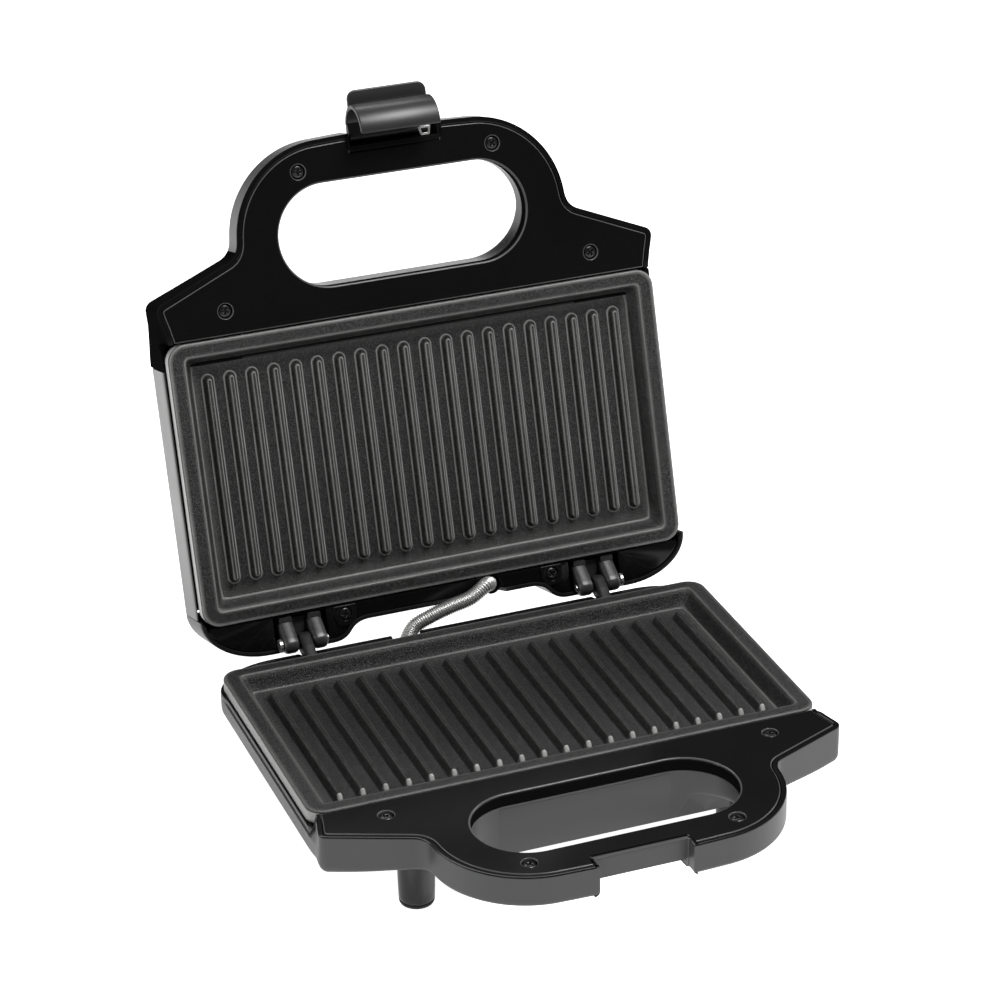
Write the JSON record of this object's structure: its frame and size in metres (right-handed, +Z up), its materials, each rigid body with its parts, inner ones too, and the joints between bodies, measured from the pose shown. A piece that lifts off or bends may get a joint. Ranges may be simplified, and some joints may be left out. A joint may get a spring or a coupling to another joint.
{
  "type": "panini press",
  "caption": "Two-plate contact grill with ribbed plates, a rear hinge, looped front handles and a pivoting latch, shown open.",
  "frame": {"origin": "on the floor, under the middle of the press as it stands open", "axes": "+Z up, +Y from the handles towards the hinge, +X to the right as the user faces it"},
  "size_m": [0.2348, 0.3006, 0.2744],
  "materials": {
    "satin_black": "satin",
    "gloss_black": "gloss",
    "nonstick": "non-stick coated, fine texture",
    "steel": "brushed",
    "dark_steel": "satin black",
    "zinc_steel": "satin",
    "spring_steel": "bright",
    "rubber": "matte",
    "terminal_ceramic": "matte",
    "red_lens": "clear gloss",
    "green_lens": "clear gloss"
  },
  "bodies": {
    "base": {"base_handle_face": "gloss_black", "base_grill_plate": "nonstick", "base_heating_element": "zinc_steel", "base_heat_shield": "steel", "base_screw_wing_left": "dark_steel", "base_screw_wing_right": "dark_steel", "base_screw_loop_left": "dark_steel", "base_screw_loop_right": "dark_steel", "base_housing": "satin_black", "cord_gland": "rubber", "terminal_block": "terminal_ceramic", "base_plate_screw_right": "dark_steel", "base_hinge_knuckle_right": "dark_steel", "hinge_pin_right": "zinc_steel", "base_plate_screw_left": "dark_steel", "base_hinge_knuckle_left": "dark_steel", "hinge_pin_left": "zinc_steel", "foot_front_right": "satin_black", "foot_pad_front_right": "rubber", "foot_front_left": "satin_black", "foot_pad_front_left": "rubber", "foot_rear_right": "satin_black", "foot_pad_rear_right": "rubber", "foot_rear_left": "satin_black", "foot_pad_rear_left": "rubber", "wiring_conduit": "spring_steel", "base_conduit_collar": "rubber"},
    "lid": {"lid_handle_face": "gloss_black", "lid_grill_plate": "nonstick", "lid_heating_element": "zinc_steel", "lid_heat_shield": "steel", "lid_screw_wing_left": "dark_steel", "lid_screw_wing_right": "dark_steel", "lid_screw_loop_left": "dark_steel", "lid_screw_loop_right": "dark_steel", "lid_front_shell": "satin_black", "lid_cover": "steel", "lid_rear_shell": "satin_black", "lid_thermostat": "zinc_steel", "lid_conduit_collar": "rubber", "latch_pin": "zinc_steel", "lid_rear_screw_left": "dark_steel", "lid_plate_screw_left": "zinc_steel", "lid_hinge_bracket_left": "dark_steel", "lid_rear_screw_right": "dark_steel", "lid_plate_screw_right": "zinc_steel", "lid_hinge_bracket_right": "dark_steel", "power_lens": "red_lens", "ready_lens": "green_lens"},
    "latch": {"latch": "satin_black"}
  },
  "joints": [
    {"name": "lid_hinge", "type": "hinge", "parent": "base", "child": "lid", "pos_m": [0, 0.07028, 0.04724], "axis": [1, 0, 0], "range_deg": [0, 107.16], "deforming": ["wiring_conduit"]},
    {"name": "latch_pivot", "type": "hinge", "parent": "lid", "child": "latch", "pos_m": [0, 0.14377, 0.25284], "axis": [1, 0, 0], "range_deg": [-30, 22]}
  ]
}
